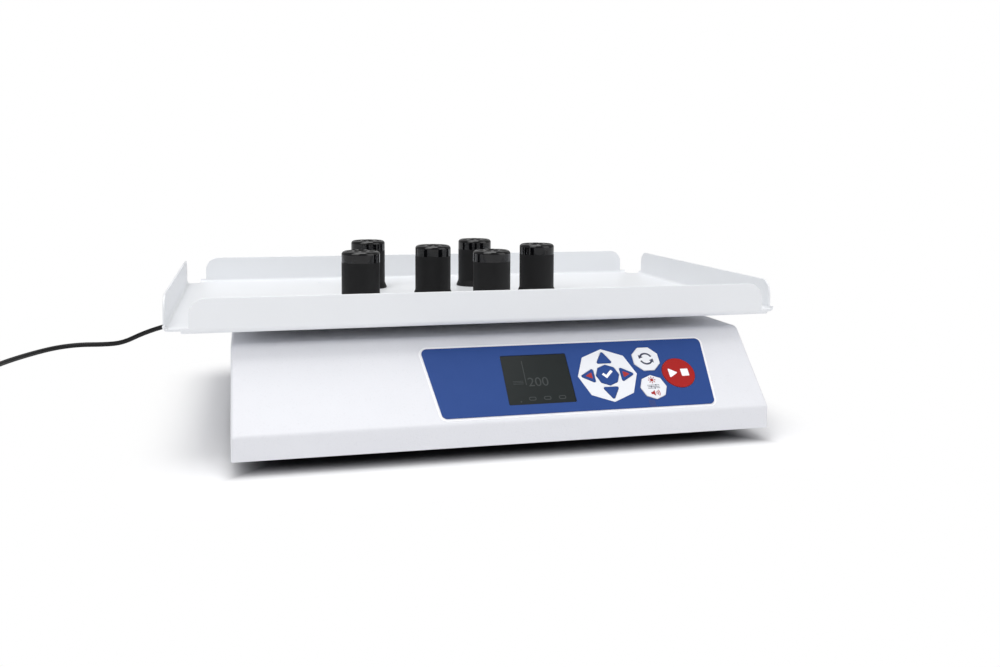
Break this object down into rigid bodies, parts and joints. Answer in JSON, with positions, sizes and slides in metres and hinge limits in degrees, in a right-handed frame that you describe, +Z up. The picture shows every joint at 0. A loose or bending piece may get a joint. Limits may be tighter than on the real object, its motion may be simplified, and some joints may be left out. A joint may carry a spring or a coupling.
{
  "type": "orbital shaker",
  "caption": "Bench-top orbital shaker with a sloped control panel, an open-cornered sheet tray on a crank-driven orbiting platform, and magnetic flask posts.",
  "frame": {"origin": "on the table, under the middle of the machine's outline in plan (tray and housing, without the cord), with the tray at rest one orbit radius left of the drive axis", "axes": "+X to the machine's right as its user sees it, +Y towards its back, +Z up"},
  "size_m": [0.563, 0.4097, 0.1042],
  "materials": {
    "housing_paint": "satin",
    "tray_paint": "satin",
    "pan_paint": "matte",
    "rubber": "matte",
    "steel": "satin",
    "zinc": "bright",
    "aluminium": "satin",
    "bearing_steel": "polished",
    "weight_steel": "satin",
    "belt_rubber": "matte",
    "motor_paint": "satin",
    "magnet_nickel": "polished",
    "circuit_green": "satin",
    "component_black": "matte",
    "sleeve_black": "matte",
    "cap_black": "gloss",
    "overlay_blue": "satin",
    "pad_blue": "satin",
    "key_white": "satin",
    "key_blue": "satin",
    "key_red": "satin",
    "window_grey": "gloss",
    "display_grey": "satin",
    "switch_black": "satin",
    "cord_black": "satin",
    "case_black": "satin",
    "brass_pin": "satin"
  },
  "bodies": {
    "base": {"housing_cover": "housing_paint", "base_pan": "pan_paint", "rubber_feet": "rubber", "foot_screws": "zinc", "cover_screws": "zinc", "chassis_plate": "aluminium", "chassis_pillars": "steel", "pillar_screws": "zinc", "bearing_cartridges": "aluminium", "cartridge_bearings": "bearing_steel", "chassis_screws": "zinc", "drive_belt": "belt_rubber", "motor_can": "motor_paint", "speed_sensor": "circuit_green", "keypad_overlay": "overlay_blue", "arrow_pad": "pad_blue", "display_window": "window_grey", "display_module": "display_grey", "front_board": "circuit_green", "front_board_fixings": "zinc", "key_switches": "component_black", "control_board": "circuit_green", "control_board_fixings": "zinc", "control_board_parts": "component_black", "dc_jack": "case_black", "jack_nut": "zinc", "switch_frame": "switch_black", "dc_plug": "case_black", "plug_relief": "case_black", "power_cord": "cord_black", "cord_coil": "cord_black", "adapter_case": "case_black", "adapter_pins": "brass_pin"},
    "crank": {"main_crank": "steel", "driven_pulley": "aluminium", "counterweight": "weight_steel", "counterweight_screws": "zinc", "speed_magnet": "magnet_nickel"},
    "motor_rotor": {"motor_shaft": "steel", "motor_pulley": "aluminium"},
    "idler_1": {"idler_crank_1": "steel"},
    "idler_2": {"idler_crank_2": "steel"},
    "idler_3": {"idler_crank_3": "steel"},
    "platform": {"platform_carrier": "aluminium", "carrier_bearings": "bearing_steel", "shaker_tray": "tray_paint", "tray_screws": "zinc", "post_feet": "sleeve_black", "post_magnets": "magnet_nickel", "post_sleeves": "sleeve_black", "post_caps": "cap_black"},
    "rocker": {"switch_rocker": "switch_black"},
    "key_right": {"key_right": "key_blue"},
    "key_up": {"key_up": "key_blue"},
    "key_left": {"key_left": "key_blue"},
    "key_down": {"key_down": "key_blue"},
    "key_enter": {"key_enter": "key_blue"},
    "key_cycles": {"key_cycles": "key_white"},
    "key_settings": {"key_settings": "key_white"},
    "key_start_stop": {"key_start_stop": "key_red"}
  },
  "joints": [
    {"name": "crank_turn", "type": "hinge", "parent": "base", "child": "crank", "pos_m": [0.005, 0.015, 0.05], "axis": [0, 0, 1], "continuous": true},
    {"name": "platform_orbit", "type": "hinge", "parent": "crank", "child": "platform", "pos_m": [0, 0.015, 0.06], "axis": [0, 0, 1], "continuous": true},
    {"name": "motor_turn", "type": "hinge", "parent": "base", "child": "motor_rotor", "pos_m": [0.07428, 0.055, 0.04], "axis": [0, 0, 1], "continuous": true},
    {"name": "idler_1_turn", "type": "hinge", "parent": "base", "child": "idler_1", "pos_m": [0.005, 0.095, 0.05], "axis": [0, 0, 1], "continuous": true},
    {"name": "idler_2_turn", "type": "hinge", "parent": "base", "child": "idler_2", "pos_m": [-0.06428, -0.025, 0.05], "axis": [0, 0, 1], "continuous": true},
    {"name": "idler_3_turn", "type": "hinge", "parent": "base", "child": "idler_3", "pos_m": [0.07428, -0.025, 0.05], "axis": [0, 0, 1], "continuous": true},
    {"name": "right_press", "type": "slide", "parent": "base", "child": "key_right", "axis": [0, 0.7071, -0.7071], "range_m": [0, 0.00035], "stiffness_N_per_m": 600},
    {"name": "up_press", "type": "slide", "parent": "base", "child": "key_up", "axis": [0, 0.7071, -0.7071], "range_m": [0, 0.00035], "stiffness_N_per_m": 600},
    {"name": "left_press", "type": "slide", "parent": "base", "child": "key_left", "axis": [0, 0.7071, -0.7071], "range_m": [0, 0.00035], "stiffness_N_per_m": 600},
    {"name": "down_press", "type": "slide", "parent": "base", "child": "key_down", "axis": [0, 0.7071, -0.7071], "range_m": [0, 0.00035], "stiffness_N_per_m": 600},
    {"name": "enter_press", "type": "slide", "parent": "base", "child": "key_enter", "axis": [0, 0.7071, -0.7071], "range_m": [0, 0.00035], "stiffness_N_per_m": 600},
    {"name": "cycles_press", "type": "slide", "parent": "base", "child": "key_cycles", "axis": [0, 0.7071, -0.7071], "range_m": [0, 0.00035], "stiffness_N_per_m": 600},
    {"name": "settings_press", "type": "slide", "parent": "base", "child": "key_settings", "axis": [0, 0.7071, -0.7071], "range_m": [0, 0.00035], "stiffness_N_per_m": 600},
    {"name": "start_stop_press", "type": "slide", "parent": "base", "child": "key_start_stop", "axis": [0, 0.7071, -0.7071], "range_m": [0, 0.00035], "stiffness_N_per_m": 600},
    {"name": "power_rocker", "type": "hinge", "parent": "base", "child": "rocker", "pos_m": [-0.072, 0.128, 0.027], "axis": [0, 0, 1], "range_deg": [-18, 0]}
  ],
  "couplings": [
    {"joint": "platform_orbit", "follows": "crank_turn", "ratio": -1},
    {"joint": "motor_turn", "follows": "crank_turn", "ratio": 4},
    {"joint": "idler_1_turn", "follows": "crank_turn", "ratio": 1},
    {"joint": "idler_2_turn", "follows": "crank_turn", "ratio": 1},
    {"joint": "idler_3_turn", "follows": "crank_turn", "ratio": 1}
  ]
}
